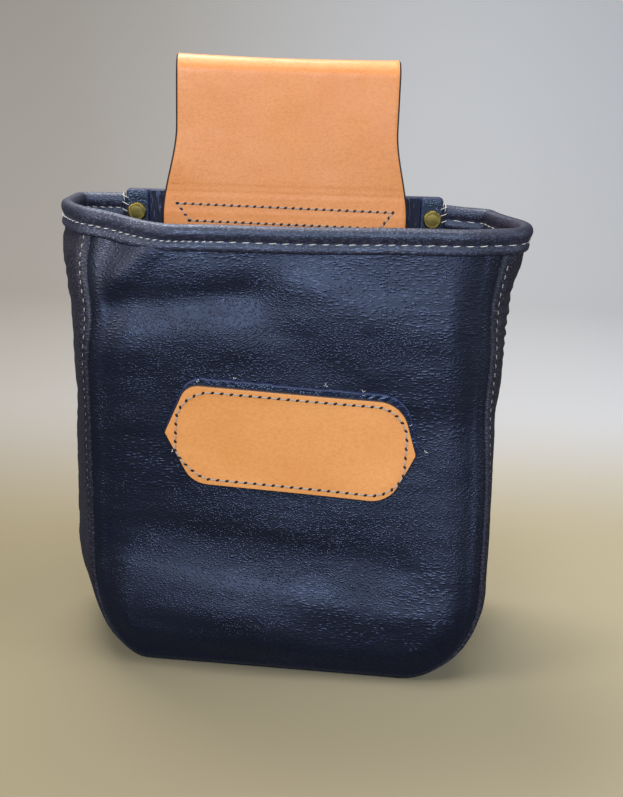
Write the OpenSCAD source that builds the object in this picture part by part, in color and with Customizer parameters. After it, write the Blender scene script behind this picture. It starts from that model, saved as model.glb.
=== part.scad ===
// Open-topped leather stick bag: a soft pouch with a bound rim, a riveted back plate,
// a wide strap folded over into a belt loop, and a stitched front patch.
// The front faces -Y, the base rests on Z = 0, and the origin is the centre of the footprint.

/* [Pouch] */
// Height of the rim above the base
rim_h = 231; // [190:1:260]
// Depth from the front seam to the back seam
body_depth = 88; // [70:1:110]
// Width of the front panel from seam to seam
front_w = 194; // [170:1:204]
// Width of the back panel
back_w = 212; // [190:1:216]
// Radius of the front panel's lower corners
front_corner_r = 52; // [40:1:60]
// Radius of the back panel's lower corners
back_corner_r = 56; // [40:1:60]
// How far the front panel crowns forward
front_crown = 7; // [3:0.5:10]
// How far the side walls bow out at the rim
rim_bow = 10.8; // [4:0.2:14]
// How far the side walls bow out lower down
side_bow = 5; // [2:0.5:8]
// Thickness of the soft bag leather
skin_t = 2; // [1.4:0.1:2.6]

/* [Rim binding] */
// Height of the folded binding strip
binding_h = 12; // [8:0.5:16]
// Thickness of the binding leather
binding_t = 1.8; // [1.2:0.1:2.4]
// Distance from the rim down to the binding's stitch line
rim_stitch_drop = 7.5; // [5:0.5:10]

/* [Back plate and rivets] */
// Width of the back plate
plate_w = 168; // [140:1:180]
// Length of the back plate below its top edge
plate_len = 96; // [70:1:130]
// Thickness of the back plate
plate_t = 3; // [2:0.1:4]
// How far the plate and facing stand above the rim
plate_rise = 2.4; // [0:0.2:6]
// Thickness of the suede facing
facing_t = 1.5; // [1:0.1:2]
// Width of each rivet tab
tab_w = 11.8; // [10.8:0.1:14]
// Thickness of each rivet tab
tab_t = 2.5; // [2:0.1:3]
// Distance between the two rivets
rivet_span = 157; // [150:0.5:158]
// Distance from the rim down to the rivets
rivet_drop = 9; // [7:0.5:14]
// Diameter of the rivet caps
rivet_cap_d = 10; // [8:0.1:11]
// Diameter of the rivet posts
rivet_post_d = 4.2; // [4:0.1:5]

/* [Belt loop] */
// Width of the strap at its folded top
strap_w = 115.6; // [90:0.2:120]
// Width of the strap at its sewn ends
strap_base_w = 130; // [100:0.5:134]
// Thickness of the strap leather
strap_t = 3.2; // [2.4:0.1:4]
// Height of the fold above the rim
loop_h = 71.7; // [50:0.1:90]
// How far the rear leg of the loop bows out
loop_bow = 3.6; // [2:0.2:6]
// Length of each sewn end below the rim
foot_len = 45; // [30:1:60]

/* [Front patch] */
// Length of the patch from point to point
patch_len = 122; // [100:1:126]
// Height of the patch
patch_h = 51; // [40:1:60]
// Corner radius of the patch
patch_r = 20; // [15:0.5:22]
// Thickness of the patch leather
patch_t = 3; // [2:0.1:4]
// Thickness of the backing layer
backing_t = 2; // [1:0.1:3]
// Height of the patch's centre above the base
patch_z = 127.7; // [100:0.1:150]
// How far the patch sits off centre
patch_x = 4.9; // [-8:0.1:8]
// Tilt of the patch, clockwise seen from the front
patch_tilt = 3.5; // [-6:0.5:6]

/* [Thread] */
// Width of a row of stitches
thread_w = 0.8; // [0.5:0.1:1.2]
// How far the stitches stand proud of the leather
thread_t = 0.4; // [0.3:0.1:0.6]

/* [Hidden] */

$fn = 64;
fit_gap = 0.1;        // room between a fold of leather and what it wraps
stitch_sink = 0.15;   // how deep a stitch is pulled into the leather

navy = "#1b2030";
chocolate = "#3a3136";
tan_leather = "#d98f4f";
suede = "#252c42";
brass = "#a8923e";
thread_white = "#dcd8cf";

// Depth positions, from the front face of the patch to the rear of the belt loop
front_stack = thread_t + patch_t + backing_t + front_crown + skin_t;
rear_stack = skin_t + plate_t + strap_t + loop_bow;
seam_y = front_stack - (front_stack + body_depth + rear_stack) / 2;
panel_y = seam_y - skin_t;                  // outer face of the front panel at its seam
crown_y = panel_y - front_crown;            // outer face of the front panel's flat middle
back_y = seam_y + body_depth;               // inner face of the back panel
plate_y = back_y + skin_t;                  // inner face of the back plate
outer_foot_y = plate_y + plate_t;           // inner face of the strap's outer end
facing_y = back_y - facing_t;               // inner face of the suede facing
inner_foot_y = facing_y - strap_t;          // inner face of the strap's inner end

// Heights
wall_h = rim_h - binding_t - fit_gap;       // top edge of the bag's walls
prism_h = binding_h + 2;                    // the walls run straight up over this height
plate_top = rim_h + plate_rise;
foot_top = plate_top - 0.4;
hinge_z = foot_top + 2;                     // line along which the loop flexes
loop_base = hinge_z + 2;
loop_top = rim_h + loop_h;
rivet_z = rim_h - rivet_drop;
seam_thread_top = rim_h - binding_h - 1;    // the seams' stitches end under the binding

// Grid counts for the soft walls
corner_steps = 8;
side_steps = 7;
bottom_steps = 4;
half_columns = 10;
depth_stops = [0, 0.05, 0.06, 0.16, 0.26, 0.38, 0.5, 0.62, 0.76, 0.88, 0.94, 0.95, 1];
front_stitch_stops = [0.05, 0.06];
back_stitch_stops = [0.94, 0.95];
flat_border = 3;      // flat strip of the front panel along its seam
crown_roll = 30;      // width over which the front panel rolls up to its crown

// ---- Curves shared by the parts ----

function clamp01(u) = min(max(u, 0), 1);
function ease_out(u) = 1 - (1 - clamp01(u)) ^ 2;
function ease_both(u) = clamp01(u) ^ 2 * (3 - 2 * clamp01(u));

// One side of a U outline from the bottom to the wall's top edge, as [x, z, outward angle]
function side_stop(half_w, r, k) =
    k <= corner_steps
    ? let (a = 90 * k / corner_steps) [half_w - r + r * sin(a), r - r * cos(a), a - 90]
    : k == corner_steps + side_steps
    ? [half_w, wall_h, 0]
    : [half_w, r + (wall_h - prism_h - r) * (k - corner_steps) / (side_steps - 1), 0];

side_count = corner_steps + side_steps;

// The whole U outline: down the left side, along the bottom and up the right side
function u_stop(half_w, r, i) =
    i <= side_count
    ? let (p = side_stop(half_w, r, side_count - i)) [-p[0], p[1], 180 - p[2]]
    : i < side_count + bottom_steps
    ? [(half_w - r) * (2 * (i - side_count) / bottom_steps - 1), 0, -90]
    : side_stop(half_w, r, i - side_count - bottom_steps);

u_count = 2 * side_count + bottom_steps;

// Outward bow of the gusset at a height z and a fraction v of its depth
function bow_size(z) =
    side_bow * ease_out(z / front_corner_r)
    + (rim_bow - side_bow) * clamp01((z - rim_h / 3) / (wall_h - prism_h - rim_h / 3)) ^ 2;
function bow(z, v) = bow_size(z) * sin(180 * v ^ 0.55);

// A point of the gusset, a distance in from its outer surface
function gusset_point(i, v, inset) =
    let (
        f = u_stop(front_w / 2, front_corner_r, i),
        b = u_stop(back_w / 2, back_corner_r, i),
        p = f + (b - f) * v,
        out = bow(p[1], v) - inset
    )
    [p[0] + out * cos(p[2]), seam_y + body_depth * v, p[1] + out * sin(p[2])];

// Distance from the front panel's edge to a point on it
function edge_distance(x, z) =
    let (cx = abs(x) - (front_w / 2 - front_corner_r), cz = front_corner_r - z)
    cx > 0 && cz > 0
    ? front_corner_r - norm([cx, cz])
    : min(front_w / 2 - abs(x), z);

function crown(x, z) = front_crown * ease_out((edge_distance(x, z) - flat_border) / crown_roll);

// A point of the front panel: column i from -half_columns to half_columns, row k from the bottom
function panel_point(i, k, inset) =
    let (
        edge = side_stop(front_w / 2, front_corner_r, k),
        x = edge[0] * sin(90 * i / half_columns)
    )
    [x, panel_y - crown(x, edge[1]) + inset, edge[1]];

// Triangles of a closed sheet whose points are an outer grid of rows by columns, then an inner one
function sheet_faces(rows, columns) =
    let (
        inner = rows * columns,
        at = function (r, c) r * columns + c,
        quad = function (a, b, c, d) [[a, b, c], [a, c, d]],
        skin = [
            for (r = [0:rows - 2], c = [0:columns - 2])
            let (a = at(r, c), b = at(r, c + 1), e = at(r + 1, c + 1), d = at(r + 1, c))
            each concat(quad(a, b, e, d), quad(inner + d, inner + e, inner + b, inner + a))
        ],
        row_ends = [
            for (c = [0:columns - 2])
            let (a = at(0, c), b = at(0, c + 1), e = at(rows - 1, c), d = at(rows - 1, c + 1))
            each concat(quad(b, a, inner + a, inner + b), quad(e, d, inner + d, inner + e))
        ],
        column_ends = [
            for (r = [0:rows - 2])
            let (a = at(r, 0), b = at(r + 1, 0), e = at(r, columns - 1), d = at(r + 1, columns - 1))
            each concat(quad(a, b, inner + b, inner + a), quad(d, e, inner + e, inner + d))
        ]
    )
    concat(skin, row_ends, column_ends);

// Half width of the strap at a height z: straight at the top, flared at its sewn ends
function strap_half(z) =
    (strap_w + (strap_base_w - strap_w) * ease_both((rim_h + 37 - z) / 48)) / 2;

// ---- Flat shapes, drawn with X across and Y up ----

// Stands a flat shape upright, from depth y to y + t
module upright(y, t) {
    translate([0, y + t, 0])
        rotate([90, 0, 0])
            linear_extrude(t)
                children();
}

// A rectangle from z0 to z1 with two round lower corners
module pocket_shape(half_w, r, z0, z1) {
    translate([-half_w, z0 + r])
        square([2 * half_w, z1 - z0 - r]);
    translate([r - half_w, z0])
        square([2 * (half_w - r), r + 1]);
    for (side = [-1, 1])
        translate([side * (half_w - r), z0 + r])
            circle(r);
}

module strap_shape(z0, z1) {
    steps = 12;
    stops = [for (i = [0:steps]) z0 + (z1 - z0) * i / steps];
    polygon(concat(
        [for (z = stops) [strap_half(z), z]],
        [for (i = [steps:-1:0]) [-strap_half(stops[i]), stops[i]]]
    ));
}

module strap_foot_shape() {
    intersection() {
        strap_shape(rim_h - foot_len, foot_top);
        pocket_shape(strap_base_w / 2, 12, rim_h - foot_len, foot_top);
    }
}

// Patch outline: straight top and bottom, round corners, and an obtuse point at each end
module patch_shape() {
    arc_x = patch_len / 2 - patch_r - 1.5;
    arc_z = patch_h / 2 - patch_r;
    corner = [for (a = [90:-10:-10]) [arc_x + patch_r * cos(a), arc_z + patch_r * sin(a)]];
    upper = concat(corner, [[patch_len / 2, 0]]);
    flip = function (points, sx, sz) [for (p = points) [sx * p[0], sz * p[1]]];
    back = function (points) [for (i = [len(points) - 1:-1:0]) points[i]];
    kept = [for (p = upper) if (p[1] >= 0) p];
    polygon(concat(
        kept, back(flip(kept, 1, -1)), flip(kept, -1, -1), back(flip(kept, -1, 1))
    ));
}

module place_patch() {
    translate([patch_x, patch_z])
        rotate(-patch_tilt)
            children();
}

// A straight row of stitches between two points
module stitch_row(a, b) {
    run = b - a;
    translate(a)
        rotate(atan2(run[1], run[0]))
            translate([0, -thread_w / 2])
                square([norm(run), thread_w]);
}

// The line that sews the strap down: a long top row, a shorter lower row and slanted ends
module loop_stitch_shape() {
    top = rim_h - 3.5;
    low = rim_h - 12;
    half_top = strap_base_w / 2 - 7.5;
    half_low = half_top - 4.5;
    stitch_row([-half_top, top], [half_top, top]);
    stitch_row([-half_low, low], [half_low, low]);
    for (side = [-1, 1])
        stitch_row([side * half_top, top], [side * half_low, low]);
}

// ---- Mouth outlines, seen from above ----

mouth_outer = concat(
    [for (i = [-half_columns:half_columns]) let (p = panel_point(i, side_count, 0)) [p[0], p[1]]],
    [for (v = depth_stops) let (p = gusset_point(u_count, v, 0)) [p[0], p[1]]],
    [[back_w / 2, plate_y], [-back_w / 2, plate_y]],
    [for (i = [len(depth_stops) - 1:-1:0])
        let (p = gusset_point(0, depth_stops[i], 0)) [p[0], p[1]]]
);
mouth_inner = concat(
    [for (i = [-half_columns + 1:half_columns - 1])
        let (p = panel_point(i, side_count, skin_t)) [p[0], p[1]]],
    [for (v = depth_stops) let (p = gusset_point(u_count, v, skin_t)) [p[0], p[1]]],
    [for (i = [len(depth_stops) - 1:-1:0])
        let (p = gusset_point(0, depth_stops[i], skin_t)) [p[0], p[1]]]
);

// Space behind the strap where the rim has no binding
module rear_gap(half_w) {
    translate([-half_w, back_y - 20])
        square([2 * half_w, 60]);
}

// Section of the binding at a distance out from the walls
module mouth_ring(outer, inner) {
    difference() {
        offset(delta = outer)
            polygon(mouth_outer);
        offset(delta = -inner)
            polygon(mouth_inner);
    }
}

// ---- Soft walls ----

module front_panel() {
    rows = side_count + 1;
    columns = 2 * half_columns + 1;
    points = [
        for (inset = [0, skin_t], k = [0:rows - 1], i = [-half_columns:half_columns])
        panel_point(i, k, inset)
    ];
    color(navy)
        polyhedron(points, sheet_faces(rows, columns));
}

// A strip of the gusset between two distances in from its outer surface, cut level at base and top
module gusset_strip(stops, outer, inner, top) {
    points = [
        for (inset = [outer, inner], i = [0:u_count], v = stops)
        gusset_point(i, v, inset)
    ];
    intersection() {
        polyhedron(points, sheet_faces(u_count + 1, len(stops)));
        translate([-back_w, -back_w, 0])
            cube([2 * back_w, 2 * back_w, top]);
    }
}

module gusset() {
    color(chocolate)
        gusset_strip(depth_stops, 0, skin_t, rim_h);
}

module back_panel() {
    color(navy)
        difference() {
            upright(back_y, skin_t) {
                pocket_shape(back_w / 2, back_corner_r, 0, wall_h);
                translate([-plate_w / 2, wall_h - 1])
                    square([plate_w, plate_top - wall_h + 1]);
            }
            rivet_holes();
        }
}

// ---- Rim ----

module rim_binding() {
    color(chocolate)
        difference() {
            translate([0, 0, rim_h - binding_h])
                linear_extrude(binding_h)
                    difference() {
                        mouth_ring(binding_t, binding_t);
                        rear_gap(plate_w / 2 + fit_gap);
                    }
            translate([0, 0, rim_h - binding_h - 1])
                linear_extrude(binding_h + 1 - binding_t)
                    mouth_ring(fit_gap, fit_gap);
        }
}

module rim_thread() {
    color(thread_white)
        translate([0, 0, rim_h - rim_stitch_drop])
            linear_extrude(thread_w)
                difference() {
                    mouth_ring(binding_t + thread_t, binding_t + thread_t);
                    mouth_ring(binding_t, binding_t);
                    rear_gap(plate_w / 2 + 6);
                }
}

// Whip stitches round the cut end of the binding, on one side
module binding_end_thread(side) {
    inner_y = back_y - binding_t - thread_t;
    outer_y = plate_y + binding_t + thread_t;
    pitch = 3;
    color(thread_white)
        for (i = [0:1])
            translate([side * (plate_w / 2 + 1.2 + pitch * i) - thread_w / 2, 0, 0])
                difference() {
                    translate([0, inner_y, rim_h - binding_h])
                        cube([thread_w, outer_y - inner_y, binding_h + thread_t]);
                    translate([-1, inner_y + thread_t, rim_h - binding_h - 1])
                        cube([thread_w + 2, outer_y - inner_y - 2 * thread_t, binding_h + 1]);
                }
}

// ---- Back plate, facing and rivets ----

module rivet_axis(side, y) {
    translate([side * rivet_span / 2, y, rivet_z])
        rotate([-90, 0, 0])
            children();
}

module rivet_holes() {
    for (side = [-1, 1])
        rivet_axis(side, back_y - 10)
            cylinder(d = rivet_post_d, h = 30);
}

module back_plate() {
    color(navy)
        difference() {
            upright(plate_y, plate_t)
                pocket_shape(plate_w / 2, 22, plate_top - plate_len, plate_top);
            rivet_holes();
        }
}

module back_plate_thread() {
    inset = 4.5;
    color(thread_white)
        upright(outer_foot_y, thread_t)
            difference() {
                offset(delta = -inset)
                    pocket_shape(plate_w / 2, 22, plate_top - plate_len, plate_top + 10);
                offset(delta = -inset - thread_w)
                    pocket_shape(plate_w / 2, 22, plate_top - plate_len, plate_top + 10);
                translate([-plate_w / 2, rivet_z - 10])
                    square([plate_w, 40]);
            }
}

module back_facing() {
    half_w = plate_w / 2 - tab_w - fit_gap;
    color(suede)
        upright(facing_y, facing_t)
            pocket_shape(half_w, 10, rim_h - foot_len - 8, plate_top);
}

module rivet_tab(side) {
    centre_x = side * (plate_w - tab_w) / 2;
    color(navy)
        difference() {
            upright(back_y - tab_t, tab_t)
                translate([centre_x, 0])
                    pocket_shape(tab_w / 2, 3, rim_h - 36, plate_top);
            rivet_holes();
        }
}

// Cap with a bevelled edge on the inside of the bag, and the stud behind it
module rivet_cap(side) {
    bevel = 0.5;
    cap_t = 1.6;
    color(brass)
        rivet_axis(side, back_y - tab_t - cap_t) {
            rotate_extrude()
                polygon([
                    [0, 0], [rivet_cap_d / 2 - bevel, 0], [rivet_cap_d / 2, bevel],
                    [rivet_cap_d / 2, cap_t], [0, cap_t]
                ]);
            translate([0, 0, cap_t - 0.5])
                cylinder(d = 2.6, h = 5.5);
        }
}

// Hollow post through the leather, with its head on the outside of the plate
module rivet_post(side) {
    head_t = 1.4;
    post_len = tab_t + skin_t + plate_t;
    color(brass)
        difference() {
            rivet_axis(side, back_y - tab_t) {
                cylinder(d = rivet_post_d, h = post_len + head_t / 2);
                translate([0, 0, post_len])
                    cylinder(d = rivet_cap_d, h = head_t);
            }
            rivet_axis(side, back_y - tab_t - 1)
                cylinder(d = 2.6 + 2 * fit_gap, h = 7);
        }
}

// ---- Belt loop ----

// Side profile of the loop at a distance out from the middle of its leather, as [y, z]
function loop_line(out) =
    let (
        front = inner_foot_y + strap_t / 2,
        rear = outer_foot_y + strap_t / 2,
        r = (rear + loop_bow - front) / 2,
        arc_z = loop_top - strap_t / 2 - r,
        lean = function (z) loop_bow * ease_both((z - loop_base) / (arc_z - loop_base)),
        steps = 8
    )
    concat(
        [[front - out, loop_base]],
        [for (a = [180:-15:0]) [front + r + (r + out) * cos(a), arc_z + (r + out) * sin(a)]],
        [for (i = [steps - 1:-1:0])
            let (z = loop_base + (arc_z - loop_base) * i / steps) [rear + out + lean(z), z]]
    );

module belt_loop() {
    outer = loop_line(strap_t / 2);
    inner = loop_line(-strap_t / 2);
    profile = concat(outer, [for (i = [len(inner) - 1:-1:0]) inner[i]]);
    color(tan_leather)
        intersection() {
            translate([-strap_base_w / 2, 0, 0])
                rotate([90, 0, 90])
                    linear_extrude(strap_base_w)
                        polygon(profile);
            upright(inner_foot_y - 10, body_depth)
                strap_shape(loop_base - 1, loop_top + 1);
        }
}

module belt_loop_inner_foot() {
    color(tan_leather)
        upright(inner_foot_y, strap_t)
            strap_foot_shape();
}

module belt_loop_outer_foot() {
    color(tan_leather)
        upright(outer_foot_y, strap_t)
            strap_foot_shape();
}

module loop_thread() {
    color(thread_white)
        for (y = [inner_foot_y - thread_t, outer_foot_y + strap_t])
            upright(y, thread_t)
                loop_stitch_shape();
}

// ---- Front patch ----

module front_patch() {
    color(tan_leather)
        upright(crown_y - backing_t - patch_t, patch_t)
            place_patch()
                patch_shape();
}

module patch_backing() {
    color(navy)
        upright(crown_y - backing_t, backing_t)
            place_patch()
                translate([1.5, 2.5])
                    patch_shape();
}

module patch_thread() {
    inset = 4.4;
    color(thread_white)
        upright(crown_y - backing_t - patch_t - thread_t, thread_t)
            place_patch()
                difference() {
                    offset(delta = -inset + thread_w / 2)
                        patch_shape();
                    offset(delta = -inset - thread_w / 2)
                        patch_shape();
                }
}

// ---- Seam threads on the gusset ----

module front_seam_thread() {
    color(thread_white)
        gusset_strip(front_stitch_stops, -thread_t, stitch_sink, seam_thread_top);
}

module back_seam_thread() {
    color(thread_white)
        gusset_strip(back_stitch_stops, -thread_t, stitch_sink, seam_thread_top);
}

front_panel();
back_panel();
gusset();
rim_binding();
back_plate();
back_facing();
rivet_tab(-1);  // left_rivet_tab
rivet_tab(1);  // right_rivet_tab
belt_loop();
belt_loop_inner_foot();
belt_loop_outer_foot();
front_patch();
patch_backing();
rivet_cap(-1);  // left_rivet_cap
rivet_post(-1);  // left_rivet_post
rivet_cap(1);  // right_rivet_cap
rivet_post(1);  // right_rivet_post
rim_thread();
front_seam_thread();
back_seam_thread();
patch_thread();
loop_thread();
back_plate_thread();
binding_end_thread(-1);  // left_binding_end_thread
binding_end_thread(1);  // right_binding_end_thread
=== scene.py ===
import math
import random

import bmesh
import bpy
import numpy as np
from mathutils import Matrix, Vector


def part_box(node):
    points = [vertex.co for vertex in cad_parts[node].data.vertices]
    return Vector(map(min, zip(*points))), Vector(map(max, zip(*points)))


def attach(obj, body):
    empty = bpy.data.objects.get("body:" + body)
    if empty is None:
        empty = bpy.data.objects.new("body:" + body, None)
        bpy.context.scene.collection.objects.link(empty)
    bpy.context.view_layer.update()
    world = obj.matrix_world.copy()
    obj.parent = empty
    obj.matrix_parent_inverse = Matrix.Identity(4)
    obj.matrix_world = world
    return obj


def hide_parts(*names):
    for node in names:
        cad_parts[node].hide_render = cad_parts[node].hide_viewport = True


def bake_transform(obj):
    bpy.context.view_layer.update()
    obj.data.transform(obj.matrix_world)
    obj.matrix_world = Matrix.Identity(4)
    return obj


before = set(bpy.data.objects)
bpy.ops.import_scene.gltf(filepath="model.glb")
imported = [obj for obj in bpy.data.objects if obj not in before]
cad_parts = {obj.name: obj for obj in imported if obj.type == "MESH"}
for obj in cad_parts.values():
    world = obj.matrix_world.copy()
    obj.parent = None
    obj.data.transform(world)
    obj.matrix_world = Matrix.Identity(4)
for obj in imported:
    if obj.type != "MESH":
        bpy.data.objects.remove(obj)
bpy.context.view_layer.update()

# Looks of an open leather stick bag. Lengths are in millimetres until a mesh is made.
MM = 0.001


# ---------------------------------------------------------------- places read from the frame

def node_box(name):
    """Lower and upper corner of a node of the frame."""
    low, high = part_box(name)
    return np.array(low) / MM, np.array(high) / MM


GUSSET_LOW, GUSSET_HIGH = node_box("gusset")
PLATE_LOW, PLATE_HIGH = node_box("back_plate")
FACING_LOW, FACING_HIGH = node_box("back_facing")
FOOT_LOW, FOOT_HIGH = node_box("belt_loop_inner_foot")
REAR_FOOT_LOW, REAR_FOOT_HIGH = node_box("belt_loop_outer_foot")
LOOP_HIGH = node_box("belt_loop")[1]

SEAM_Y = GUSSET_LOW[1]
BACK_Y = GUSSET_HIGH[1]
DEPTH = BACK_Y - SEAM_Y
FRONT_HALF = node_box("front_panel")[1][0]
BACK_HALF = node_box("back_panel")[1][0]
WALL_TOP = GUSSET_HIGH[2]
RIM_TOP = node_box("rim_binding")[1][2]
SKIN = 2.0                    # thickness of the soft leather
BINDING_DROP = 7.5            # rim to stitch line
PLATE_HALF = PLATE_HIGH[0]


# ---------------------------------------------------------------- small maths

def smooth(u):
    """A soft step from 0 to 1."""
    u = np.clip(u, 0.0, 1.0)
    return u * u * (3.0 - 2.0 * u)


def bump_at(value, centre, width):
    """A soft bump of height 1 about a centre."""
    return np.exp(-((value - centre) / width) ** 2)


def lattice(ix, iy, iz, seed):
    """A fixed pseudo-random value from -1 to 1 for each lattice corner."""
    h = (ix * 374761393 + iy * 668265263 + iz * 1442695041 + seed * 974634777) & 0xFFFFFFFF
    h = ((h ^ (h >> 13)) * 1274126177) & 0xFFFFFFFF
    return ((h ^ (h >> 16)) & 0xFFFF) / 32767.5 - 1.0


def value_noise(p, cell, seed=0):
    """Smooth noise from -1 to 1 at points p, with lattice cells of the given size."""
    q = np.asarray(p, float) / np.asarray(cell, float)
    base = np.floor(q).astype(np.int64)
    f = smooth(q - base)
    total = 0.0
    for dx in (0, 1):
        for dy in (0, 1):
            for dz in (0, 1):
                weight = (
                    (f[..., 0] if dx else 1 - f[..., 0])
                    * (f[..., 1] if dy else 1 - f[..., 1])
                    * (f[..., 2] if dz else 1 - f[..., 2])
                )
                corner = lattice(base[..., 0] + dx, base[..., 1] + dy, base[..., 2] + dz, seed)
                total = total + weight * corner
    return total


def layered_noise(p, cell, seed=0, octaves=3):
    """Noise in layers, each half the size and strength of the one before."""
    total, size, share = 0.0, np.asarray(cell, float), 1.0
    for octave in range(octaves):
        total = total + share * value_noise(p, size, seed + octave)
        size, share = size / 2.0, share / 2.0
    return total


def grid_normals(grid):
    """Unit normals of a grid of points, rows by columns by 3."""
    across = np.gradient(grid, axis=1)
    along = np.gradient(grid, axis=0)
    normal = np.cross(along, across)
    length = np.linalg.norm(normal, axis=2, keepdims=True)
    return normal / np.maximum(length, 1e-9)


def resample(points, step, closed=False):
    """Points at even spacing along a polyline."""
    points = np.asarray(points, float)
    if closed:
        points = np.vstack([points, points[:1]])
    run = np.r_[0, np.cumsum(np.linalg.norm(np.diff(points, axis=0), axis=1))]
    count = max(2, int(round(run[-1] / step)))
    at = np.linspace(0, run[-1], count + 1)
    if closed:
        at = at[:-1]
    return np.stack([np.interp(at, run, points[:, k]) for k in range(points.shape[1])], axis=1)


def path_normals(points, closed=False):
    """Unit normals of a plan path, to the right of its direction."""
    if closed:
        t = np.roll(points, -1, axis=0) - np.roll(points, 1, axis=0)
    else:
        t = np.gradient(points, axis=0)
    n = np.stack([t[:, 1], -t[:, 0]], axis=1)
    return n / np.linalg.norm(n, axis=1, keepdims=True)


# ---------------------------------------------------------------- the bag's settled shape

# radii of the lower corners, along and up
FRONT_LEFT_CORNER = (28.0, 54.0)
FRONT_RIGHT_CORNER = (38.0, 50.0)
BACK_CORNER = (56.0, 56.0)


def u_outline(tau, half, left_corner, right_corner):
    """A U outline: tau 0 to 1 down the left side, to 2 round its corner, to 3 along the bottom,
    to 4 round the right corner, and to 5 up the right side. Returns x, z and the outward normal."""
    tau = np.asarray(tau, float)
    a = math.pi / 2
    zones = [tau < 1, tau < 2, tau <= 3, tau <= 4]
    left_x, left_z = left_corner
    right_x, right_z = right_corner
    turn_l, turn_r = (tau - 1) * a, (tau - 3) * a
    x = np.select(zones, [
        -half + 0 * tau,
        -half + left_x * (1 - np.cos(turn_l)),
        -half + left_x + (tau - 2) * (2 * half - left_x - right_x),
        half - right_x * (1 - np.sin(turn_r)),
    ], half)
    z = np.select(zones, [
        WALL_TOP + tau * (left_z - WALL_TOP),
        left_z * (1 - np.sin(turn_l)),
        0 * tau,
        right_z * (1 - np.cos(turn_r)),
    ], right_z + (tau - 4) * (WALL_TOP - right_z))
    turn = np.select(zones, [0 * tau, turn_l, a + 0 * tau, a + turn_r], 2 * a)
    return x, z, -np.cos(turn), -np.sin(turn)


RIM_BOW = 10.8
SIDE_BOW = 5.0


def bow_size(z):
    """How far the side walls bow out at a height: most at the rim, none along the base."""
    low = SIDE_BOW * (1 - (1 - np.clip(z / 52.0, 0, 1)) ** 2)
    rise = np.clip((z - RIM_TOP / 3) / (WALL_TOP - 14 - RIM_TOP / 3), 0, 1)
    return low + (RIM_BOW - SIDE_BOW) * rise ** 2


# the fold below the pushed-in left corner, as (x, z)
FOLD_START = (-92.0, 193.0)
FOLD_END = (-66.0, 221.0)


def line_distance(x, z, a, b):
    """Signed distance from the line through a and b, positive to the left of its direction."""
    run_x, run_z = b[0] - a[0], b[1] - a[1]
    return ((z - a[1]) * run_x - (x - a[0]) * run_z) / math.hypot(run_x, run_z)


def settle(p):
    """How the soft bag leans and sags: its front is skewed and twisted, its left top corner falls
    back, and the side walls spread towards the rim."""
    p = np.array(p, float)
    x, y, z = p[..., 0].copy(), p[..., 1].copy(), p[..., 2].copy()
    front = smooth(1.0 - (y - SEAM_Y) / DEPTH)
    rear = 1.0 - front
    middle = 4.0 * front * rear
    high = smooth((z - 165.0) / 62.0)
    low = 1.0 - smooth((z - 35.0) / 150.0)
    left = smooth((-x - 20.0) / 80.0)
    right = smooth((x - 20.0) / 80.0)
    # the whole front has shifted to the right, and its foot is turned to the right
    p[..., 0] += 4.3 * front
    p[..., 1] -= 0.13 * x * front * low
    # the left top corner is pushed back above a slanting fold, and the right rear one comes forward
    over_fold = np.clip(line_distance(x, z, FOLD_START, FOLD_END) / 27.0, 0.0, 1.25)
    p[..., 1] += front * (10.0 * high * smooth((-x - 58.0) / 46.0) + 9.0 * over_fold ** 1.4)
    p[..., 1] -= 5.0 * rear * high * smooth((x - 84.0) / 22.0)
    # the side walls spread near the rim, and the left one low down too
    spread = smooth((np.abs(x) - 84.0) / 20.0) * smooth((z - 130.0) / 90.0)
    p[..., 0] += np.where(x < 0, -3.4, 3.0) * spread
    p[..., 0] -= left * low * (1.3 * front + 3.0 * middle)
    p[..., 0] -= right * low * 3.0 * middle
    # the seams wander
    p[..., 0] += front * left * (3.4 * bump_at(z, 226, 14) + 3.0 * bump_at(z, 184, 15))
    p[..., 0] -= front * right * (4.6 * bump_at(z, 194, 24) + 2.6 * bump_at(z, 145, 26))
    p[..., 2] -= 2.0 * rear * high * smooth((x - 66.0) / 30.0)
    # the rim stands a little higher at both sides than at its slack front
    p[..., 2] += front * smooth((z - 120) / 100.0) * (1.4 * right + 2.3 * smooth((-x - 56) / 44.0))
    return p


STITCH_IN = 2.9            # seam to its topstitching


def seam_band(distance):
    """Relief of the gusset beside a seam: a narrow rolled edge, its stitches pulled in behind it."""
    roll = 0.7 * bump_at(distance, 1.4, 1.0)
    groove = 0.45 * bump_at(distance, STITCH_IN, 0.6)
    return roll - groove + 0.35 * bump_at(distance, 5.2, 1.8) - 0.7 * bump_at(distance, 0.0, 0.7)


def side_bow(z, v):
    """How far a side wall bows out at a height and a depth fraction."""
    return bow_size(z) * np.sin(np.pi * np.clip(v, 0, 1) ** 0.55)


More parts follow.
